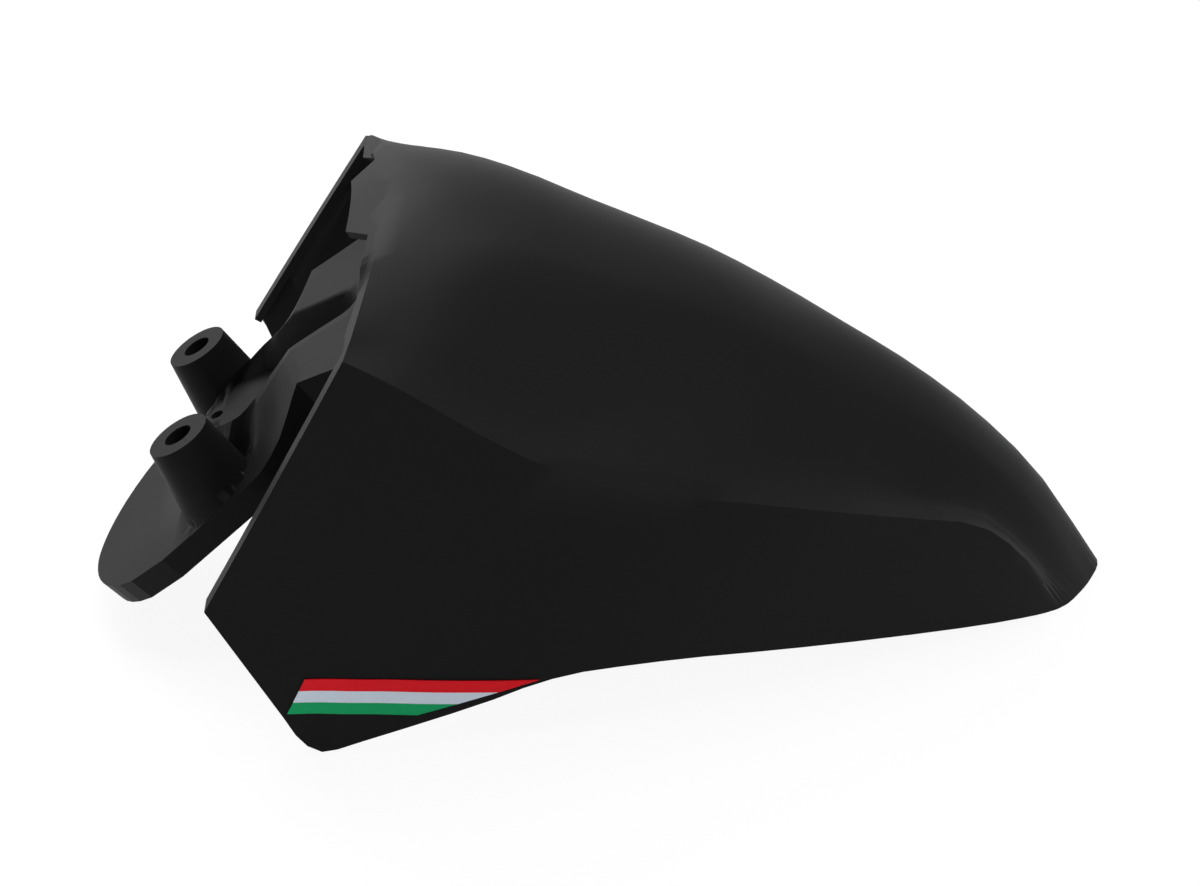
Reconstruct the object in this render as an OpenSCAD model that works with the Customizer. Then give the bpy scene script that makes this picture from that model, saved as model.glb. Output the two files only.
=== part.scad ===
// Front fender: one injection-moulded shell with creased flanks, a return lip round its open rear end,
// and a mounting tray moulded in under the top skin. A tricolour decal lies on one side wall.
// X points to the nose, Y to the left, Z up. The fender stands on its two lower corners and its nose.

/* [Shell] */
// Length of the shell from its rearmost side corner to the nose tip
shell_length = 339; // [300:1:380]
// Width across the lower corners of the side walls
shell_width = 222; // [190:1:260]
// Height of the top skin above the ground
shell_height = 174; // [150:1:200]
// Thickness of the moulded wall
wall = 3; // [2:0.25:3.5]
// How far the side walls bulge outwards between their lower edge and the crease
side_bulge = 1.3; // [0:0.1:4]

/* [Return lip] */
// Width of the lip that turns in along the side walls
lip_width = 8; // [5:0.5:10]
// Length of the tab in the middle of the top edge
tab_length = 16.5; // [10:0.5:20]
// Depth of the lip in the notch on each side of the tab
notch_lip = 5.5; // [4:0.5:8]
// Slope of the tab below the horizontal
tab_slope = 30; // [15:1:45]

/* [Mounting bosses] */
// Distance between the axes of the two bosses
boss_spacing = 67.6; // [60:0.2:76]
// Outer diameter of a boss at its free face
boss_d = 24; // [20:0.5:28]
// Diameter of the bolt hole through a boss
bore_d = 11; // [8:0.25:13]
// Length of a boss from its free face to the tray
boss_length = 27; // [22:0.5:32]
// Lean of the bosses to the rear
boss_lean = 28.3; // [20:0.1:36]
// Draft of the outside of a boss on each side
boss_draft = 7.5; // [3:0.5:9]

/* [Tray] */
// Half width of the tray at its paddle
paddle_half_width = 50; // [46:0.5:54]
// Depth of the turned-down rim round the tray
rim_depth = 10.2; // [7:0.2:13]
// Length of the rounded rear end of the paddle
paddle_round = 33; // [24:1:40]
// Radius of the round well between the bosses and the tongue
well_radius = 21.3; // [18:0.1:23]
// Half width of the slot at the front end of the tongue
slot_half_width = 9; // [6:0.5:11]
// Diameter of the drain hole in the well
drain_d = 5; // [3:0.5:7]

/* [Decal] */
// Length of the decal along its upper edge
decal_length = 82; // [60:1:95]
// Height of the decal
decal_height = 14.5; // [8:0.5:18]
// Thickness of the decal film
decal_film = 0.4; // [0.2:0.1:0.8]

/* [Hidden] */
$fn = 48;

// Scale of the feature lines, which are drawn for a shell of 339 by 222 by 174
line_scale = [shell_length / 339, shell_width / 222, shell_height / 174];
// Feature lines of the right flank from the rear to the nose, each as [along, out from the middle, up]
edge_line = [[-139, 111, 63], [-127, 110.5, 39.5], [-115, 110, 16], [-109.5, 109.3, 5], [-102, 109, 0],
    [-92, 107.7, 2], [-70, 105.5, 8], [-45, 102, 14.5], [-28, 99, 19.5], [-12, 95.5, 21.8], [8, 91, 21.5],
    [32, 84.5, 19.5], [60, 76, 15.5], [91, 66, 11.2], [125, 53.5, 6], [150, 44.2, 2.7], [165, 38.3, 1.2],
    [172, 35, 0.4]];
crease_line = [[-88, 93, 149.5], [-76, 94.5, 143.5], [-60, 94.8, 133], [-41, 93.5, 119], [-20, 91.5, 105.5],
    [4, 88.3, 95], [30, 83.5, 87], [56, 77, 79.5], [84, 69, 70.5], [112, 58.5, 60.5], [140, 48.5, 50],
    [160, 41, 30], [177, 32.5, 0.2]];
valley_line = [[-86, 86, 152.5], [-73, 84, 147], [-57, 80.5, 140.5], [-38, 78, 126.5], [-15, 75, 113],
    [9, 72.5, 105], [33, 67.5, 97.5], [60, 60.5, 86.5], [88, 53, 75], [115, 46, 60], [140, 39.5, 49.5],
    [161, 33.5, 30], [181, 29.5, 0]];
shoulder_line = [[-84, 78, 156], [-70, 74, 151.5], [-54, 69, 147.5], [-36, 63, 140], [-12, 58, 130],
    [12, 53.5, 119.5], [36, 49.5, 110], [63, 46, 99.5], [90, 42, 84], [117, 38, 66], [142, 34, 50],
    [163, 30, 28], [185, 25.5, 0]];
crown_line = [[-77.5, 42, 167], [-62, 39, 167.5], [-46, 36, 166], [-27, 33, 160.5], [-5, 30.5, 151],
    [17, 28, 142], [41, 26, 131.5], [67, 24, 117.5], [94, 22, 100], [121, 20, 82], [147, 18, 62],
    [170, 16, 37], [194, 13.5, 0.4]];
ridge_line = [[-74.5, 0, 172.5], [-59, 0, 174], [-42, 0, 172.5], [-23, 0, 167], [-2, 0, 157.7],
    [20, 0, 148.3], [44, 0, 137], [70, 0, 121.5], [97, 0, 105.5], [124, 0, 87], [150, 0, 65],
    [174, 0, 40], [200, 0, 1.2]];

// Curves through hand-chosen points
function clamp(x, low, high) = min(max(x, low), high);
function blend(a, b, t) = a + (b - a) * t;
function ease(t) = let (s = clamp(t, 0, 1)) s * s * (3 - 2 * s);
function spline(p0, p1, p2, p3, t) = 0.5 * (2 * p1 + (p2 - p0) * t
    + (2 * p0 - 5 * p1 + 4 * p2 - p3) * t * t + (3 * p1 - p0 - 3 * p2 + p3) * t * t * t);
function along(line, u) = let (
    last = len(line) - 1,
    k = clamp(floor(u * last), 0, last - 1),
    before = k == 0 ? 2 * line[0] - line[1] : line[k - 1],
    after = k == last - 1 ? 2 * line[last] - line[last - 1] : line[k + 2])
    spline(before, line[k], line[k + 1], after, u * last - k);
function scaled(p) = [p[0] * line_scale[0], p[1] * line_scale[1], p[2] * line_scale[2]];
function on_line(line, u) = scaled(along(line, u));
function other_side(p) = [p[0], -p[1], p[2]];
function unit(v) = v / max(norm(v), 1e-9);

// Half section of the shell at a station, from the lower edge over the crease to the ridge
side_parts = 4;
fold_parts = 2;
notch_steps = [0, 0.25, 0.48, 0.55, 0.65, 0.76, 0.86, 0.93, 1];
top_parts = 4;
function half_section(u) = let (
    e = on_line(edge_line, u),
    c = on_line(crease_line, u),
    v = on_line(valley_line, u),
    s = on_line(shoulder_line, u),
    m = on_line(crown_line, u),
    r = on_line(ridge_line, u),
    bulge = side_bulge * (1 - u))
    [for (i = [0:side_parts - 1]) let (t = i / side_parts) blend(e, c, t) + [0, 4 * bulge * t * (1 - t), 0],
     for (i = [0:fold_parts - 1]) spline(c, c, v, s, i / fold_parts),
     for (i = [0:fold_parts - 1]) spline(c, v, s, m, i / fold_parts),
     for (t = notch_steps) if (t < 1) spline(v, s, m, r, t),
     for (i = [0:top_parts]) spline(s, m, r, other_side(m), i / top_parts)];
function full_section(half) = let (n = len(half) - 1)
    [for (i = [0:n]) other_side(half[i]), for (i = [n - 1:-1:0]) half[i]];

// Return lip: it turns in along the side walls and slopes down to the rear as a tab in the middle
tab_half_width = 25.5;
notch_end = 50;
rear_lean = 30.6;
function lip_at(y) = y < tab_half_width ? tab_length
    : y < notch_end ? blend(notch_lip, tab_length * 0.55, pow(abs(2 * (y - tab_half_width)
        / (notch_end - tab_half_width) - 1), 4))
    : lip_width + ease((y - notch_end) / 20) * ease((92 - y) / 12) * 1.5;
tab_down = [-cos(tab_slope), 0, -sin(tab_slope)];
rear_normal = [-cos(rear_lean), 0, sin(rear_lean)];
plane_down = [-sin(rear_lean), 0, -cos(rear_lean)];
function inwards(p) = let (turn = 90 * ease((abs(p[1]) - 66) / 32))
    cos(turn) * plane_down + sin(turn) * [0, p[1] < 0 ? 1 : -1, 0];
function wall_share(y) = ease((abs(y) - 42) / 14);
function lip_point(section, j, share) = let (p = section[j])
    p + share * lip_at(abs(p[1])) * unit(blend(tab_down, inwards(p), wall_share(p[1])));

// Rows of the shell from the tip of the lip to the nose
stations = 26;
lip_rows = 2;
shell_rows = let (first = full_section(half_section(0)))
    concat([for (share = [1, 0.5]) [for (j = [0:len(first) - 1]) lip_point(first, j, share)]],
        [for (i = [0:stations]) full_section(half_section(i / stations))]);

// Mitred offset of a grid of points to the inside of the wall
function quad_normal(g, i, j, di, dj) = let (
    rows = len(g) - 1,
    cols = len(g[0]) - 1,
    a = i + di < 0 || i + di > rows ? -di : di,
    b = j + dj < 0 || j + dj > cols ? -dj : dj)
    unit(a * b * cross(g[i + a][j] - g[i][j], g[i][j + b] - g[i][j]));
function vertex_normals(g, i, j) = [for (di = [-1, 1]) for (dj = [-1, 1]) quad_normal(g, i, j, di, dj)];
function mitre(normals) = let (
    n = unit(normals[0] + normals[1] + normals[2] + normals[3]),
    lean = min([for (q = normals) n * q]))
    n / max(lean, 0.8);
function level(v) = unit([v[0], v[1], 0]);

// Closed body between an outer grid and an inner grid of the same size
module body_between(outer, inner) {
    rows = len(outer);
    cols = len(outer[0]);
    count = rows * cols;
    function at(i, j) = i * cols + j;
    points = concat([for (row = outer) each row], [for (row = inner) each row]);
    faces = concat(
        [for (i = [0:rows - 2]) for (j = [0:cols - 2]) each
            [[at(i, j), at(i, j + 1), at(i + 1, j + 1)], [at(i, j), at(i + 1, j + 1), at(i + 1, j)]]],
        [for (i = [0:rows - 2]) for (j = [0:cols - 2]) each
            [[count + at(i, j), count + at(i + 1, j + 1), count + at(i, j + 1)],
             [count + at(i, j), count + at(i + 1, j), count + at(i + 1, j + 1)]]],
        [for (j = [0:cols - 2]) each
            [[at(0, j), count + at(0, j), at(0, j + 1)],
             [count + at(0, j), count + at(0, j + 1), at(0, j + 1)],
             [at(rows - 1, j), at(rows - 1, j + 1), count + at(rows - 1, j)],
             [count + at(rows - 1, j), at(rows - 1, j + 1), count + at(rows - 1, j + 1)]]],
        [for (i = [0:rows - 2]) each
            [[at(i, 0), at(i + 1, 0), count + at(i, 0)],
             [count + at(i, 0), at(i + 1, 0), count + at(i + 1, 0)],
             [at(i, cols - 1), count + at(i, cols - 1), at(i + 1, cols - 1)],
             [count + at(i, cols - 1), count + at(i + 1, cols - 1), at(i + 1, cols - 1)]]]);
    polyhedron(points, faces, convexity = 8);
}

// Inner face of the shell: square under the lip, and level with the outer face at the lower edge and the nose
tab_normal = [-sin(tab_slope), 0, cos(tab_slope)];
function lip_inner(g, i, j) = let (share = wall_share(g[i][j][1])) i < lip_rows
    ? unit(blend(tab_normal, rear_normal, share))
    : blend(mitre(vertex_normals(g, i, j)), rear_normal - inwards(g[i][j]), share);
function shell_inner(g) = let (rows = len(g) - 1, cols = len(g[0]) - 1)
    [for (i = [0:rows]) [for (j = [0:cols]) g[i][j] - wall * (
        i <= lip_rows ? lip_inner(g, i, j)
        : i == rows || j == 0 || j == cols ? level(mitre(vertex_normals(g, i, j)))
        : mitre(vertex_normals(g, i, j)))]];

module shell() {
    body_between(shell_rows, shell_inner(shell_rows));
}

// Tray: its rows run from the rounded end of the paddle to the seam under the top skin
paddle_slope = 43;
plate_at_boss = 51.8;
boss_x = -154;
boss_z = 88;
well_x = -131;
well_reach = 15.5;
well_floor_z = 76.1;
well_floor_slope = 22.7;
slot_floor_rise = 0.23;
tongue_slope = 29.5;
tongue_corner = [-108.4, 44.3, 114.6];
tongue_rear_x = -113.7;
rear_x = -194.8;
straight_x = -158;
slot_end_x = -88.5;
neck_half_width = 15.5;
slot_rear_half_width = 12;
pocket_draft = 0.7;
drain_x = -143.5;
// Middle of the finished part, which is put over the origin
middle_x = (ridge_line[len(ridge_line) - 1][0] * line_scale[0] + rear_x) / 2;
function plate_z(x) = plate_at_boss + tan(paddle_slope) * (x - boss_x);
function tongue_z(x) = tongue_corner[2] + tan(tongue_slope) * (x - tongue_corner[0]);
edge_rise = [[-124, 0], [-119, 3], [-116.5, 5], [-114, 9.3], [-112, 13.2], [-110, 17.6], [-108.4, 20.3]];
function outer_edge_z(x) = x > tongue_corner[0] ? tongue_z(x) : plate_z(x) + lookup(x, edge_rise);
crest_rise = [[straight_x, 0], [-156, 2.5], [-152, 12.5], [-150, 16], [-147, 17.7], [-142, 17.5], [-133, 17],
    [-127, 18.5], [-122, 19.5], [-119, 20.2], [-116, 21.3], [-113.7, 22.2]];
function crest_z(x) = x >= tongue_rear_x ? tongue_z(x) : plate_z(x) + lookup(x, crest_rise);
function floor_z(x) = well_floor_z + tan(well_floor_slope) * (x + 145.6) + max(0, x + 122) * slot_floor_rise;

// Half widths of the tray and of the pocket in it
function tray_half(x) = x < tongue_rear_x ? blend(paddle_half_width, tongue_corner[1],
        ease((x + 130) / (tongue_rear_x + 130)))
    : tongue_corner[1] + min((x - tongue_rear_x) * 0.31, 6);
function oval_half(x, middle, reach, radius) = let (d = (x - middle) / reach)
    abs(d) < 1 ? radius * sqrt(1 - d * d) : 0;
function neck_half(x) = x < -119 ? neck_half_width
    : x < -110 ? blend(neck_half_width, slot_rear_half_width, (x + 119) / 9)
    : blend(slot_rear_half_width, slot_half_width, min((x + 110) / 12, 1));
slot_round_x = slot_end_x - slot_half_width;
well_rear_x = well_x - well_reach;
function pocket_half(x) =
    x > slot_end_x ? min(1.5 + (x - slot_end_x) * 0.5, slot_half_width)
    : x > slot_round_x ? max(oval_half(x, slot_round_x, slot_half_width, slot_half_width), 1.5)
    : x > well_x ? max(oval_half(x, well_x, well_reach, well_radius), x > -121 ? neck_half(x) : 0)
    : x > well_rear_x ? max(oval_half(x, well_x, well_reach, well_radius), 5)
    : 6;

// Height of the tray's upper face beside the pocket, with a recess in it round each boss
recess_start = 15.5;
recess_width = 4.5;
boss_axis = [-sin(boss_lean), 0, cos(boss_lean)];
boss_foot = [boss_x, boss_spacing / 2, boss_z] - boss_length * boss_axis;
function off_boss(x, y) = let (p = [x, y, plate_z(x)] - boss_foot) norm(p - (p * boss_axis) * boss_axis);
crease_skew = 0.18;
function skewed(x, y) = x + crease_skew * max(y - neck_half_width, 0)
    * ease((x + 150) / (150 + tongue_rear_x)) * (1 - ease((x + 110) / 40));
function web_point(x, y, t, start) = let (
    sx = skewed(x, y),
    free = blend(crest_z(x), outer_edge_z(skewed(x, tray_half(x))), blend(t, ease(t), 0.5)),
    past_boss = ease((off_boss(sx, y) - start) / recess_width),
    raised = start > recess_start ? past_boss : max(past_boss, 1 - ease(t / 0.25)))
    [sx, y, x >= tongue_rear_x ? tongue_z(sx) : blend(plate_z(sx), free, raised)];

// Rows of the tray; they lie closer together round the well, at the crease and at the end of the slot
web_parts = 9;
tray_stations = concat([straight_x, -155, -152, -149, well_rear_x + 0.2, -144.8],
    [for (x = [-142:3:-121]) x], [-119, -117.3, -115.6, tongue_rear_x, -111, -106, -101, slot_round_x],
    [for (a = [25, 45, 70]) slot_round_x + slot_half_width * sin(a)], [slot_end_x, -85.5, -76, -66]);
function is_open(x) = x > well_rear_x && x < slot_end_x - 0.01;
function upper_half_row(x) = let (
    w = tray_half(x),
    p = pocket_half(x),
    low = is_open(x) ? min(floor_z(x), crest_z(x) - 0.3) : crest_z(x),
    foot = is_open(x) ? p - pocket_draft : p * 0.8)
    concat([for (k = [0:web_parts]) let (t = 1 - k / web_parts)
            web_point(x, blend(p, w, t), t, recess_start)],
        [[x, foot, low], [x, foot / 2, low], [x, 0, low]]);

// Underside of the tray, one wall below its upper face and one wall outside the pocket
under = wall / cos(paddle_slope);
function under_shift(x) = let (shift = wall * (x < slot_end_x ? ease((x - slot_round_x) / slot_half_width)
        : 1 - ease((x - slot_end_x) / 26)))
    [shift, 0, shift * tan(tongue_slope)];
function under_half_row(x) = let (
    w = tray_half(x) - wall,
    p = pocket_half(x) + wall,
    web = [for (k = [0:web_parts]) let (y = blend(w, p, k / web_parts))
        web_point(x, y, clamp((y - pocket_half(x)) / (tray_half(x) - pocket_half(x)), 0, 1),
            recess_start + 1.4 * wall)
            - [0, 0, under]],
    low = is_open(x) ? min(floor_z(x), crest_z(x) - 0.3) - wall : crest_z(x) - under,
    foot = is_open(x) ? p - pocket_draft - 0.3 : wall + pocket_half(x) * 0.8)
    [for (q = concat(web, [[x, foot, low], [x, foot / 2, low], [x, 0, low]])) q + under_shift(x)];

// Rounded rear end of the paddle, drawn smaller by one wall for the underside
round_power = 1.88;
function round_x(y) = rear_x + paddle_round
    * (1 - pow(1 - pow(min(y / paddle_half_width, 1), round_power), 1 / round_power));
function end_half_row(share, inset) = let (
    p = pocket_half(straight_x),
    size = [1 - inset / (straight_x - rear_x), 1 - inset / paddle_half_width])
    [for (y = concat([for (k = [0:web_parts]) blend(paddle_half_width, p, k / web_parts)],
            [p * 0.8, p * 0.4, 0]))
        let (x = straight_x + blend(round_x(y) - straight_x, 0, share) * size[0])
        [x, y * size[1], plate_z(x)]];

// Seam under the top skin, where the tongue runs into the middle of the wall
function tongue_gap(p) = p[2] - wall / 2 - tongue_z(p[0]);
function section_point(sec, y, k) = let (
    a = sec[k],
    b = sec[k + 1])
    k == len(sec) - 2 || b[1] <= y ? blend(a, b, clamp((y - a[1]) / (b[1] - a[1]), 0, 1))
    : section_point(sec, y, k + 1);
function skin_point(u, y) = section_point(half_section(u), y, side_parts + fold_parts);
function seam_u(y, low, high, turns) = let (u = (low + high) / 2)
    turns == 0 ? u : tongue_gap(skin_point(u, y)) > 0 ? seam_u(y, u, high, turns - 1)
    : seam_u(y, low, u, turns - 1);
function seam_half_row(row, drop) =
    [for (q = row) skin_point(seam_u(q[1], 0.02, 0.5, 14), q[1]) - [0, 0, drop]];

// Grids of the tray with its turned-down rim
plate_normal = [-sin(paddle_slope), 0, cos(paddle_slope)];
tongue_normal = [-sin(tongue_slope), 0, cos(tongue_slope)];
function rim_point(p) = p - rim_depth * unit(blend(plate_normal, tongue_normal, ease((p[0] + 122) / 24)));
function with_rim(edge, half) = concat([edge], half);
function tray_grid(ends, body, rims, rear, seam) = let (
    corner = rear[0],
    rest = [for (k = [1:len(rear) - 1]) rear[k]])
    concat([full_section(concat([corner, blend(corner, rest[0], 0.1)], rest))],
        [full_section(with_rim(blend(corner, rims[0], 0.1), ends[0]))],
        [for (k = [1:len(ends) - 1]) full_section(with_rim(blend(corner, rims[0], k / len(ends)), ends[k]))],
        [for (k = [0:len(body) - 1]) full_section(with_rim(rims[k], body[k]))],
        [full_section(with_rim(seam[0] - [3, 0, 3], seam))]);
end_shares = [0, 0.35, 0.7];
upper_rows = [for (x = tray_stations) upper_half_row(x)];
under_rows = [for (x = tray_stations) under_half_row(x)];
upper_rims = [for (row = upper_rows) rim_point(row[0])];
upper_rear = [for (p = end_half_row(0, 0)) rim_point(p)];
under_rear = let (outline = end_half_row(0, wall)) [for (p = outline) rim_point(p)];
tray_upper = tray_grid([for (share = end_shares) end_half_row(share, 0)], upper_rows, upper_rims, upper_rear,
    seam_half_row(upper_rows[len(upper_rows) - 1], 0.4 * wall));
tray_under = tray_grid([for (share = end_shares) [for (p = end_half_row(share, wall)) p - [0, 0, under]]],
    under_rows, [for (p = upper_rims) p - [0, wall, 0]], under_rear,
    seam_half_row(under_rows[len(under_rows) - 1], 0.8 * wall));

module tray() {
    body_between(tray_upper, tray_under);
}

module along_boss(side) {
    translate([boss_x, side * boss_spacing / 2, boss_z]) rotate([0, -boss_lean, 0]) children();
}

// Block that ends in the middle of the paddle's wall
module above_paddle() {
    block = 140;
    translate([boss_x, 0, plate_at_boss]) rotate([0, -paddle_slope, 0])
        translate([-block / 2, -block / 2, -wall / 2]) cube(block);
}

module boss(side) {
    root = boss_length + boss_d / 2;
    intersection() {
        along_boss(side) translate([0, 0, -root])
            cylinder(h = root, r1 = boss_d / 2 + root * tan(boss_draft), r2 = boss_d / 2);
        above_paddle();
    }
}

module bore(side) {
    reach = boss_length + 4 * wall;
    along_boss(side) translate([0, 0, -reach]) cylinder(h = reach + 1, d = bore_d);
}

module drain() {
    reach = 4 * wall;
    translate([drain_x, 0, well_floor_z]) rotate([0, -boss_lean, 0])
        translate([0, 0, -reach]) cylinder(h = 2 * reach, d = drain_d);
}

module fender_moulding() {
    color([0.045, 0.046, 0.05]) translate([-middle_x, 0, 0]) difference() {
        union() {
            resize([0, 0, 0]) union() {
                shell();
                tray();
            }
            boss(-1);
            boss(1);
        }
        bore(-1);
        bore(1);
        drain();
    }
}

// Decal film on the right side wall; its three stripes are printed colours of one film
decal_rear_x = -107;
decal_top_z = 31.9;
decal_fall = 7;
decal_rear_slant = 0.47;
decal_nose_slant = 3;
film_gap = 0.15;
function wall_at(u, t) = other_side(half_section_side(u, t));
function half_section_side(u, t) = blend(on_line(edge_line, u), on_line(crease_line, u), t)
    + [0, 4 * side_bulge * (1 - u) * t * (1 - t), 0];
function find_u(x, t, low, high, turns) = let (u = (low + high) / 2)
    turns == 0 ? u : wall_at(u, t)[0] < x ? find_u(x, t, u, high, turns - 1)
    : find_u(x, t, low, u, turns - 1);
function find_point(x, z, low, high, turns) = let (
    t = (low + high) / 2,
    p = wall_at(find_u(x, t, 0, 1, 14), t))
    turns == 0 ? p : p[2] < z ? find_point(x, z, t, high, turns - 1) : find_point(x, z, low, t, turns - 1);
decal_parts = 12;
function decal_row(share) = let (drop = share * decal_height, x0 = decal_rear_x - drop * decal_rear_slant,
    x1 = decal_rear_x + decal_length - drop * decal_nose_slant)
    [for (k = [0:decal_parts]) let (x = blend(x0, x1, k / decal_parts))
        find_point(x, decal_top_z - drop - (x - decal_rear_x) * tan(decal_fall), 0, 1, 14)];
decal_grid = [for (share = [0, 1 / 3, 2 / 3, 1]) decal_row(share)];
function lifted(g, lift) = [for (i = [0:len(g) - 1]) [for (j = [0:len(g[0]) - 1])
    g[i][j] + lift * mitre(vertex_normals(g, i, j))]];

module tricolour_decal() {
    color([0.8, 0.8, 0.82]) translate([-middle_x, 0, 0])
        body_between(lifted(decal_grid, film_gap + decal_film), lifted(decal_grid, film_gap));
}

fender_moulding();
tricolour_decal();
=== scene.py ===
"""Finish, stage and camera for a moulded black front fender with a tricolour decal."""
import math

import bpy
from mathutils import Matrix, Vector


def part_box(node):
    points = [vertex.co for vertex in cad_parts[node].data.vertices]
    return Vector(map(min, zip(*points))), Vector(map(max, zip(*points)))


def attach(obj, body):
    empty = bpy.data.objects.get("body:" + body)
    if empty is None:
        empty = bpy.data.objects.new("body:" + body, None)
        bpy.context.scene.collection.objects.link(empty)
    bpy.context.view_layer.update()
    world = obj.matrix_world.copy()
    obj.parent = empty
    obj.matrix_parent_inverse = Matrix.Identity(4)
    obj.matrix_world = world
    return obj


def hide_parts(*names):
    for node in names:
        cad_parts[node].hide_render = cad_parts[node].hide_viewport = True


bl_info = {
    "name": "Front Fender Finish",
    "version": (1, 0, 0),
    "blender": (4, 5, 0),
    "location": "View3D > Sidebar > Fender",
    "description": "Dresses a moulded front fender in grained black plastic and sets its studio",
    "category": "Object",
}

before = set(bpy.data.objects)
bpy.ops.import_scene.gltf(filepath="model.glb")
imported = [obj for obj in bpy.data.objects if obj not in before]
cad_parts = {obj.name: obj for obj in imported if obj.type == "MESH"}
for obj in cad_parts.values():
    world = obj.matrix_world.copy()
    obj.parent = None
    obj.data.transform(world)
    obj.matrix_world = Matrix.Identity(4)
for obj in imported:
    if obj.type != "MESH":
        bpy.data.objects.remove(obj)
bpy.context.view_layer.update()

BLACK = (0.0, 0.0, 0.0, 1.0)
WHITE = (1.0, 1.0, 1.0, 1.0)

# Detail and roughness of the two noises in the plastic
GRAIN_NOISE = (3.0, 0.6)
HAZE_NOISE = (4.0, 0.55)
HAZE_CONTRAST = 2.2
TONE_SPREAD = 0.14
GRAIN_ROUGHNESS = 0.10
HAZE_ROUGHNESS = -0.05

# The decal's rear end leans back by this share of its height
DECAL_SLANT = 0.47
PRINT_GRAIN = 0.0009
PRINT_SHADE = 0.94
PRINT_SHADE_SPREAD = 0.12
PRINT_ROUGHNESS = 0.4
PRINT_ROUGHNESS_SPREAD = 0.06
PRINT_SPECULAR = 0.12

FLOOR_COLOUR = (0.9, 0.9, 0.9, 1.0)
FLOOR_ROUGHNESS = 0.8
# How far the floor is plain white where it is seen; the rest keeps the shadow
FLOOR_GLOW = 0.92

# Name, place, point it looks at, width and depth, power
LAMPS = (
    ("back_softbox", (-0.75, 1.05, 1.15), (-0.05, 0.0, 0.08), (1.2, 0.9), 20.0),
    ("top_softbox", (0.05, 0.25, 1.5), (0.0, 0.0, 0.05), (1.3, 0.9), 21.0),
    ("front_fill", (0.7, -1.3, 0.9), (0.0, 0.0, 0.05), (1.0, 1.0), 7.0),
)
SENSOR_WIDTH = 36.0
NEAR_CLIP = 0.01


class Socket:
    """A shader value that can be written in Python expressions."""

    def __init__(self, tree, link):
        self.tree = tree
        self.link = link

    def math(self, operation, *others):
        return node(self.tree, "ShaderNodeMath", {"operation": operation}, [self, *others])

    def __add__(self, other):
        return self.math("ADD", other)

    def __radd__(self, other):
        return self.math("ADD", other)

    def __sub__(self, other):
        return self.math("SUBTRACT", other)

    def __rsub__(self, other):
        return node(self.tree, "ShaderNodeMath", {"operation": "SUBTRACT"}, [other, self])

    def __mul__(self, other):
        return self.math("MULTIPLY", other)

    def over(self, other):
        return self.math("GREATER_THAN", other)

    def clamped(self):
        return node(self.tree, "ShaderNodeClamp", {}, [self])


def put(tree, target, value):
    """Links a socket to another shader value, or sets it to a plain one."""
    if isinstance(value, Socket):
        tree.links.new(value.link, target)
    else:
        target.default_value = value


def node(tree, kind, settings, values, output=0):
    """Adds one node, sets its settings, then its sockets' values or links, and returns an output."""
    made = tree.nodes.new(kind)
    for name, value in settings.items():
        setattr(made, name, value)
    pairs = values.items() if isinstance(values, dict) else enumerate(values)
    for name, value in pairs:
        put(tree, made.inputs[name], value)
    return Socket(tree, made.outputs[output])


def mix_colour(tree, factor, first, second):
    """Blends two colours; the mix node keeps its colour sockets at 6 and 7 and its colour output at 2."""
    return node(tree, "ShaderNodeMix", {"data_type": "RGBA"}, {0: factor, 6: first, 7: second}, 2)


def new_material(name):
    """An empty node material with its Principled shader; returns the material, its tree and the shader."""
    material = bpy.data.materials.new(name)
    material.use_nodes = True
    tree = material.node_tree
    tree.nodes.clear()
    output = tree.nodes.new("ShaderNodeOutputMaterial")
    shader = tree.nodes.new("ShaderNodeBsdfPrincipled")
    tree.links.new(shader.outputs[0], output.inputs[0])
    return material, tree, shader


def object_place(tree):
    """Object coordinates as one value and as X, Y and Z."""
    place = node(tree, "ShaderNodeTexCoord", {}, {}, "Object")
    parts = node(tree, "ShaderNodeSeparateXYZ", {}, [place]).link.node
    return place, [Socket(tree, parts.outputs[k]) for k in range(3)]


def noise(tree, place, size, detail=2.0, roughness=0.5):
    """Noise whose patches have about the given size in metres."""
    return node(tree, "ShaderNodeTexNoise", {}, {
        "Vector": place, "Scale": 1.0 / size, "Detail": detail, "Roughness": roughness})


def moulded_plastic(finish):
    """Unpainted black plastic: moulded grain, soft sheen and faint handling haze."""
    material, tree, shader = new_material("moulded_black_plastic")
    place, _ = object_place(tree)
    grain = noise(tree, place, finish.grain_size, *GRAIN_NOISE)
    haze = noise(tree, place, finish.haze_size, *HAZE_NOISE)
    smudge = (haze - 0.5) * HAZE_CONTRAST
    tone = (0.5 + smudge * finish.haze).clamped()
    dark, pale = [[c * share for c in finish.plastic_colour[:3]] + [1.0]
                  for share in (1.0 - TONE_SPREAD, 1.0 + TONE_SPREAD)]
    roughness = (grain - 0.5) * GRAIN_ROUGHNESS + smudge * HAZE_ROUGHNESS + finish.plastic_roughness
    bump = node(tree, "ShaderNodeBump", {}, {
        "Strength": finish.grain_strength, "Distance": finish.grain_depth, "Height": grain})
    put(tree, shader.inputs["Base Color"], mix_colour(tree, tone, dark, pale))
    put(tree, shader.inputs["Roughness"], roughness)
    put(tree, shader.inputs["Specular IOR Level"], finish.plastic_specular)
    put(tree, shader.inputs["Normal"], bump)
    return material


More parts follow.
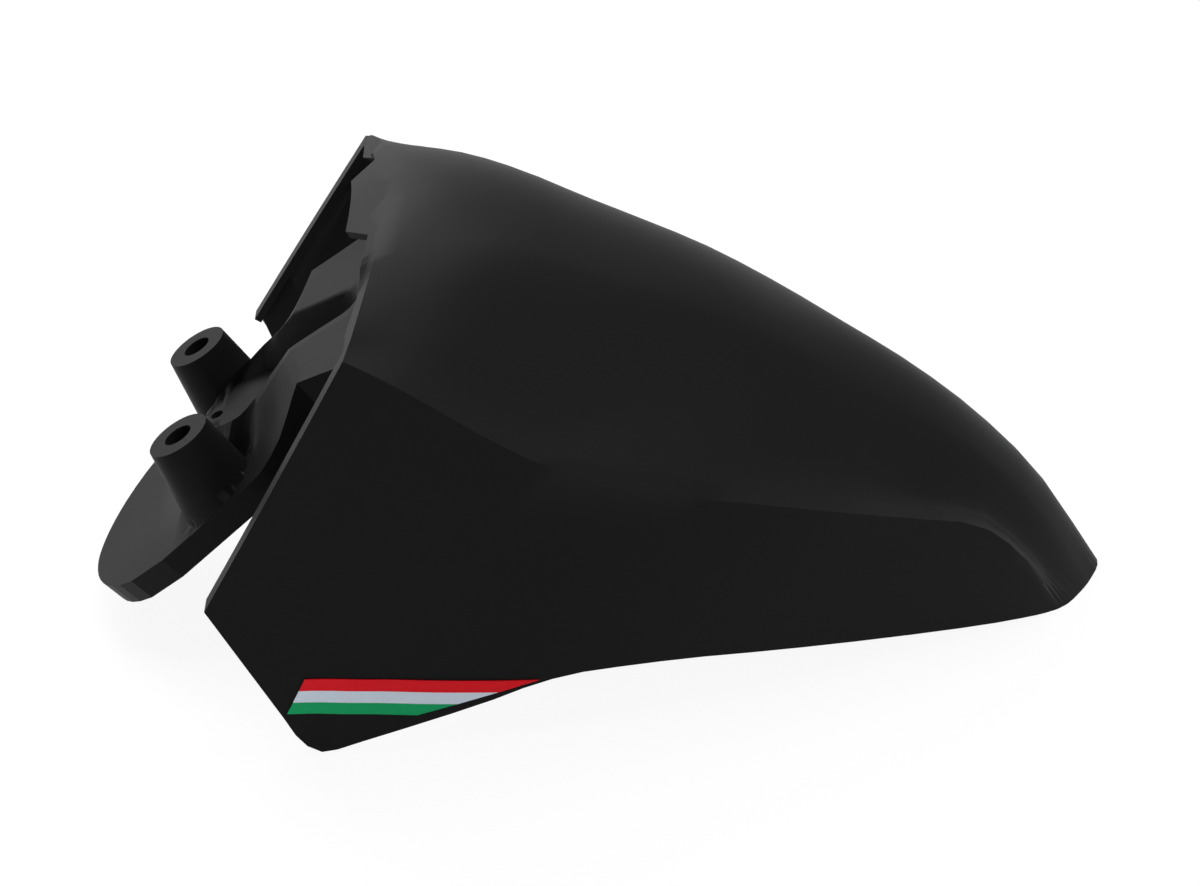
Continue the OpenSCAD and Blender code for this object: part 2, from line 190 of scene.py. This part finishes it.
def decal_print(finish):
    """Film printed with three stripes that run along the side wall and fall towards the nose."""
    material, tree, shader = new_material("tricolour_print")
    place, (x, _, z) = object_place(tree)
    low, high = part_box("tricolour_decal")
    fall = math.tan(math.radians(finish.stripe_fall))
    top = high[2]
    rear = low[0] + DECAL_SLANT * finish.decal_height
    drop = top - z - (x - rear) * fall
    share = drop * (1.0 / finish.decal_height)
    fine = noise(tree, place, PRINT_GRAIN)
    first = mix_colour(tree, share.over(1 / 3), tuple(finish.stripe_top), tuple(finish.stripe_middle))
    stripes = mix_colour(tree, share.over(2 / 3), first, tuple(finish.stripe_bottom))
    shade = (PRINT_SHADE + (fine - 0.5) * PRINT_SHADE_SPREAD).clamped()
    put(tree, shader.inputs["Base Color"], mix_colour(tree, shade, BLACK, stripes))
    put(tree, shader.inputs["Roughness"], PRINT_ROUGHNESS + (fine - 0.5) * PRINT_ROUGHNESS_SPREAD)
    put(tree, shader.inputs["Specular IOR Level"], PRINT_SPECULAR)
    return material


def deselect_all():
    if bpy.context.mode != "OBJECT":
        bpy.ops.object.mode_set(mode="OBJECT")
    bpy.ops.object.select_all(action="DESELECT")


def make_active(thing):
    deselect_all()
    thing.select_set(True)
    bpy.context.view_layer.objects.active = thing


class FenderFinish(bpy.types.PropertyGroup):
    """Sizes and colours of the finish."""

    plastic_colour: bpy.props.FloatVectorProperty(
        name="Plastic colour", description="Colour of the unpainted plastic", subtype="COLOR", size=4,
        default=(0.0062, 0.0063, 0.0068, 1.0), min=0.0, max=1.0)
    plastic_roughness: bpy.props.FloatProperty(
        name="Plastic roughness", description="Roughness of the moulded surface", default=0.48, min=0.0,
        max=1.0)
    plastic_specular: bpy.props.FloatProperty(
        name="Plastic specular", description="Specular level of the moulded surface", default=0.06, min=0.0,
        max=1.0)
    grain_size: bpy.props.FloatProperty(
        name="Grain size", description="Size of the moulded grain", default=0.0007, min=0.0001, unit="LENGTH")
    grain_depth: bpy.props.FloatProperty(
        name="Grain depth", description="Depth of the moulded grain", default=0.00006, min=0.0, unit="LENGTH")
    grain_strength: bpy.props.FloatProperty(
        name="Grain strength", description="How strongly the grain shows", default=0.35, min=0.0, max=1.0)
    haze: bpy.props.FloatProperty(
        name="Haze", description="Strength of the handling haze", default=0.5, min=0.0, max=1.0)
    haze_size: bpy.props.FloatProperty(
        name="Haze size", description="Size of the patches of haze", default=0.06, min=0.001, unit="LENGTH")
    smooth_angle: bpy.props.FloatProperty(
        name="Smooth angle", description="Edges that fold more than this stay sharp", subtype="ANGLE",
        default=math.radians(17.0))
    weld: bpy.props.FloatProperty(
        name="Weld distance", description="Corners closer than this are one", default=0.00002, unit="LENGTH")
    decal_height: bpy.props.FloatProperty(
        name="Decal height", description="Height of the three stripes together", default=0.0145,
        unit="LENGTH")
    stripe_fall: bpy.props.FloatProperty(
        name="Stripe fall", description="Fall of the stripes towards the nose, in degrees", default=7.0)
    stripe_top: bpy.props.FloatVectorProperty(
        name="Top stripe", description="Colour of the top stripe", subtype="COLOR", size=4,
        default=(0.70, 0.004, 0.012, 1.0))
    stripe_middle: bpy.props.FloatVectorProperty(
        name="Middle stripe", description="Colour of the middle stripe", subtype="COLOR", size=4,
        default=(0.62, 0.70, 0.80, 1.0))
    stripe_bottom: bpy.props.FloatVectorProperty(
        name="Bottom stripe", description="Colour of the bottom stripe", subtype="COLOR", size=4,
        default=(0.002, 0.33, 0.11, 1.0))


class FenderStudio(bpy.types.PropertyGroup):
    """Camera, lamps and floor."""

    camera_place: bpy.props.FloatVectorProperty(
        name="Camera place", description="Where the camera stands", subtype="TRANSLATION", size=3,
        default=(-0.0357, -0.7847, 0.5287))
    camera_right: bpy.props.FloatVectorProperty(
        name="Camera right", description="Direction of the picture's right side", size=3,
        default=(0.99905, -0.04349, 0.0))
    camera_up: bpy.props.FloatVectorProperty(
        name="Camera up", description="Direction of the picture's top", size=3,
        default=(0.0223, 0.5115, 0.8590))
    lens: bpy.props.FloatProperty(
        name="Lens", description="Focal length in millimetres on a 36 mm sensor", default=71.46)
    world_light: bpy.props.FloatProperty(
        name="World light", description="Strength of the even light all round", default=0.16, min=0.0)
    floor_size: bpy.props.FloatProperty(
        name="Floor size", description="Width of the floor", default=8.0, unit="LENGTH")


class FENDER_OT_moulding(bpy.types.Operator):
    """Welds a smooth copy of the moulding and gives it its grained black plastic"""

    bl_idname = "fender.moulding"
    bl_label = "Moulding"

    def execute(self, context):
        finish = context.scene.fender_finish
        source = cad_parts["fender_moulding"]
        mesh = source.data.copy()
        piece = bpy.data.objects.new("fender_shell", mesh)
        context.collection.objects.link(piece)
        make_active(piece)
        bpy.ops.object.mode_set(mode="EDIT")
        bpy.ops.mesh.select_all(action="SELECT")
        bpy.ops.mesh.remove_doubles(threshold=finish.weld)
        bpy.ops.mesh.dissolve_degenerate(threshold=finish.weld)
        bpy.ops.mesh.select_all(action="DESELECT")
        bpy.ops.object.mode_set(mode="OBJECT")
        bpy.ops.object.shade_smooth_by_angle(angle=finish.smooth_angle)
        mesh.materials.clear()
        mesh.materials.append(moulded_plastic(finish))
        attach(piece, "root")
        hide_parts("fender_moulding")
        return {"FINISHED"}


class FENDER_OT_decal(bpy.types.Operator):
    """Gives the decal its three printed stripes"""

    bl_idname = "fender.decal"
    bl_label = "Decal"

    def execute(self, context):
        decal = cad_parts["tricolour_decal"]
        print_material = decal_print(context.scene.fender_finish)
        for slot in decal.material_slots:
            slot.material = print_material
        return {"FINISHED"}


def seen_directly(tree):
    """One for rays from the camera, off a gloss or through glass, nothing for the light on the object."""
    rays = tree.nodes.new("ShaderNodeLightPath")
    camera, glossy, through = [Socket(tree, rays.outputs[name]) for name in (
        "Is Camera Ray", "Is Glossy Ray", "Is Transmission Ray")]
    return (camera + glossy + through).clamped()


def soft_lamp(name, place, aim, size, power):
    """Hangs a rectangular area lamp that looks at a point."""
    light = bpy.data.lights.new(name, "AREA")
    light.shape = "RECTANGLE"
    light.size, light.size_y = size
    light.energy = power
    lamp = bpy.data.objects.new(name, light)
    bpy.context.collection.objects.link(lamp)
    lamp.location = place
    lamp.rotation_euler = (Vector(aim) - Vector(place)).to_track_quat("-Z", "Y").to_euler()


class FENDER_OT_stage(bpy.types.Operator):
    """Lays the pale floor, hangs the soft lamps and sets the camera"""

    bl_idname = "fender.stage"
    bl_label = "Stage"

    def execute(self, context):
        studio = context.scene.fender_studio
        scene = context.scene
        scene.view_settings.view_transform = "Standard"
        self.lay_floor(studio)
        for lamp in LAMPS:
            soft_lamp(*lamp)
        self.set_world(scene, studio)
        self.set_camera(scene, studio)
        return {"FINISHED"}

    def lay_floor(self, studio):
        deselect_all()
        bpy.ops.mesh.primitive_plane_add(size=studio.floor_size, location=(0.0, 0.0, 0.0))
        floor = bpy.context.active_object
        floor.name = "floor"
        material, tree, shader = new_material("pale_floor")
        put(tree, shader.inputs["Base Color"], FLOOR_COLOUR)
        put(tree, shader.inputs["Roughness"], FLOOR_ROUGHNESS)
        glow = seen_directly(tree) * FLOOR_GLOW
        white = node(tree, "ShaderNodeEmission", {}, {"Color": WHITE, "Strength": 1.0})
        plain = Socket(tree, shader.outputs[0])
        blend = node(tree, "ShaderNodeMixShader", {}, {0: glow, 1: plain, 2: white})
        output = next(n for n in tree.nodes if n.type == "OUTPUT_MATERIAL")
        tree.links.new(blend.link, output.inputs[0])
        floor.data.materials.append(material)

    def set_world(self, scene, studio):
        world = bpy.data.worlds.new("studio_world")
        world.use_nodes = True
        tree = world.node_tree
        tree.nodes.clear()
        strength = seen_directly(tree) * (1.0 - studio.world_light) + studio.world_light
        back = node(tree, "ShaderNodeBackground", {}, {"Color": WHITE, "Strength": strength})
        output = tree.nodes.new("ShaderNodeOutputWorld")
        tree.links.new(back.link, output.inputs[0])
        scene.world = world

    def set_camera(self, scene, studio):
        lens = bpy.data.cameras.new("photo_camera")
        lens.sensor_fit = "HORIZONTAL"
        lens.sensor_width = SENSOR_WIDTH
        lens.lens = studio.lens
        lens.clip_start = NEAR_CLIP
        camera = bpy.data.objects.new("photo_camera", lens)
        bpy.context.collection.objects.link(camera)
        right = Vector(studio.camera_right).normalized()
        up = Vector(studio.camera_up).normalized()
        back = right.cross(up)
        turn = Matrix((right, up, back)).transposed().to_4x4()
        camera.matrix_world = Matrix.Translation(Vector(studio.camera_place)) @ turn
        scene.camera = camera


class FENDER_PT_panel(bpy.types.Panel):
    """Shows a button for each step"""

    bl_idname = "FENDER_PT_panel"
    bl_label = "Front Fender"
    bl_space_type = "VIEW_3D"
    bl_region_type = "UI"
    bl_category = "Fender"

    def draw(self, context):
        for step in STEPS:
            self.layout.operator(step.bl_idname)


STEPS = (FENDER_OT_moulding, FENDER_OT_decal, FENDER_OT_stage)
CLASSES = (FenderFinish, FenderStudio, *STEPS, FENDER_PT_panel)


def register():
    for cls in CLASSES:
        bpy.utils.register_class(cls)
    bpy.types.Scene.fender_finish = bpy.props.PointerProperty(type=FenderFinish)
    bpy.types.Scene.fender_studio = bpy.props.PointerProperty(type=FenderStudio)


def unregister():
    del bpy.types.Scene.fender_studio
    del bpy.types.Scene.fender_finish
    for cls in reversed(CLASSES):
        bpy.utils.unregister_class(cls)


def main():
    register()
    bpy.ops.fender.moulding()
    bpy.ops.fender.decal()
    bpy.ops.fender.stage()


if __name__ == "__main__":
    main()
